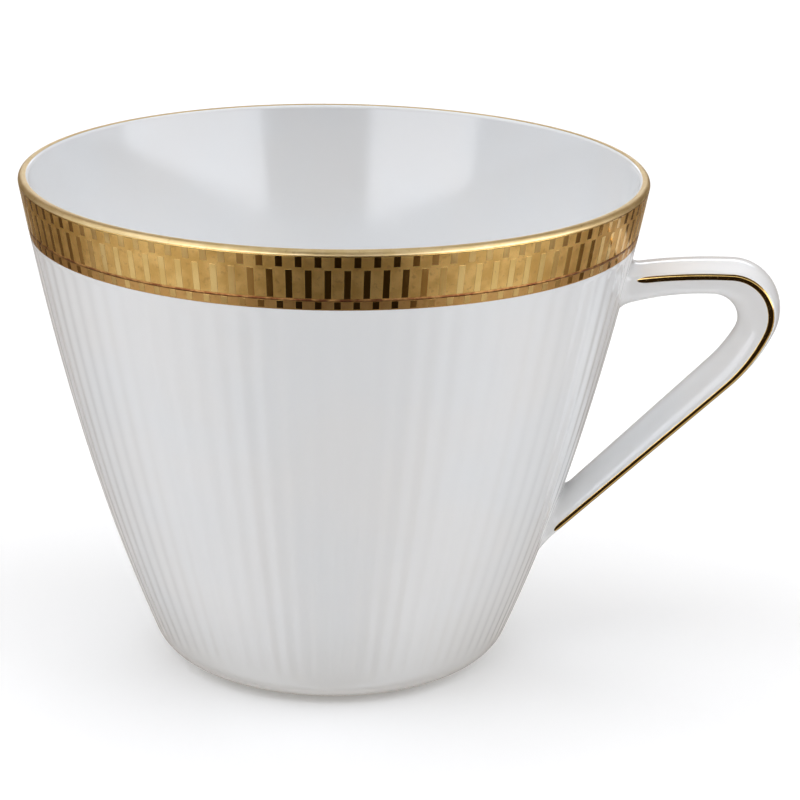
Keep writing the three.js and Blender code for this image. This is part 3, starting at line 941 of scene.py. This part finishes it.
def room_glow(tree, turn, rise):
    """What the gloss mirrors, each laid over the last: the dark front and the sides, the back wall with a
    bright strip, the table at both sides, the horizon, the windows, the lamps and the ceiling."""
    aside = calculate(tree, "ABSOLUTE", turn)
    above = window(tree, rise, ABOVE_TABLE, WINDOW_SOFTNESS)
    side = window(tree, aside, SIDE_TURN, TABLE_SOFTNESS)
    glow = blend(tree, side, FRONT_GLOW, blend(tree, above, SIDE_TABLE_GLOW, SIDE_GLOW))
    strip = window(tree, aside, STRIP_TURN, LAMP_SOFTNESS)
    strip = between_rises(tree, strip, rise, STRIP_RISE, STRIP_SOFTNESS)
    back_glow = blend(tree, strip, blend(tree, above, BACK_TABLE_GLOW, BACK_GLOW), STRIP_GLOW)
    glow = blend(tree, window(tree, aside, BACK_WALL, LAMP_SOFTNESS), glow, back_glow)
    table = either_side(tree, turn, LEFT_TABLE, RIGHT_TABLE, TABLE_SOFTNESS)
    glow = blend(tree, table, glow, TABLE_GLOW)
    horizon = window(tree, turn, HORIZON_TURN, TABLE_SOFTNESS)
    horizon = between_rises(tree, horizon, rise, HORIZON_RISE, HORIZON_SOFTNESS)
    glow = blend(tree, horizon, glow, HORIZON_GLOW)
    windows = either_side(tree, turn, LEFT_WINDOW, RIGHT_WINDOW, WINDOW_SOFTNESS)
    windows = between_rises(tree, windows, rise, WINDOW_RISE, WINDOW_SOFTNESS)
    glow = blend(tree, windows, glow, WINDOW_GLOW)
    lamps = between_rises(tree, table, rise, LAMP_RISE, LAMP_SOFTNESS)
    glow = blend(tree, lamps, glow, LAMP_GLOW)
    return blend(tree, window(tree, rise, CEILING_RISE, LAMP_SOFTNESS), glow, CEILING_GLOW)


def make_surroundings():
    """A room all round: what lights the cup, what its gloss mirrors, and a white backdrop for the camera."""
    world = bpy.data.worlds.new("studio")
    bpy.context.scene.world = world
    world.use_nodes = True
    tree = world.node_tree
    direction = add_node(tree, "ShaderNodeTexCoord").outputs["Generated"]
    parts = add_node(tree, "ShaderNodeSeparateXYZ", {0: direction}).outputs
    azimuth = calculate(tree, "ARCTAN2", parts["Y"], parts["X"])
    from_camera = calculate(tree, "SUBTRACT", azimuth, CAMERA_AZIMUTH)
    turn = calculate(tree, "WRAP", from_camera, math.pi, -math.pi)
    rise = calculate(tree, "ARCSINE", parts["Z"])
    path = add_node(tree, "ShaderNodeLightPath").outputs
    light = blend(tree, path["Is Glossy Ray"], room_fill(tree, turn, rise), room_glow(tree, turn, rise))
    light = blend(tree, path["Is Camera Ray"], light, BACKDROP_LEVEL)
    tint = mix_colours(tree, remap(tree, light, (0, ROOM_LEVEL), (0, 1)), ROOM_COLOUR, LAMP_COLOUR)
    tint = mix_colours(tree, path["Is Camera Ray"], tint, BACKDROP_COLOUR)
    tree.links.new(tint, tree.nodes["Background"].inputs["Color"])
    tree.links.new(light, tree.nodes["Background"].inputs["Strength"])


def make_softbox():
    """A wide lamp overhead that lights the table and the cup's inside and is hidden from the gloss."""
    data = bpy.data.lights.new("softbox", "AREA")
    data.shape = "DISK"
    data.size = SOFTBOX_SIZE
    data.energy = SOFTBOX_POWER
    softbox = bpy.data.objects.new("softbox", data)
    bpy.context.scene.collection.objects.link(softbox)
    softbox.location = (AXIS_X, 0, SOFTBOX_HEIGHT)
    softbox.visible_glossy = False


def make_camera():
    data = bpy.data.cameras.new("camera")
    data.sensor_width = SENSOR_WIDTH
    data.lens = CAMERA_LENS
    camera = bpy.data.objects.new("camera", data)
    bpy.context.scene.collection.objects.link(camera)
    turn = Matrix.Rotation(CAMERA_HEADING, 4, "Z") @ Matrix.Rotation(math.pi / 2 - CAMERA_DIP, 4, "X")
    camera.matrix_world = Matrix.Translation(CAMERA_PLACE) @ turn @ Matrix.Rotation(CAMERA_ROLL, 4, "Z")
    bpy.context.scene.camera = camera


make_floor()
make_surroundings()
make_softbox()
make_camera()
bpy.context.scene.view_settings.view_transform = "Standard"
bpy.context.scene.cycles.use_denoising = True
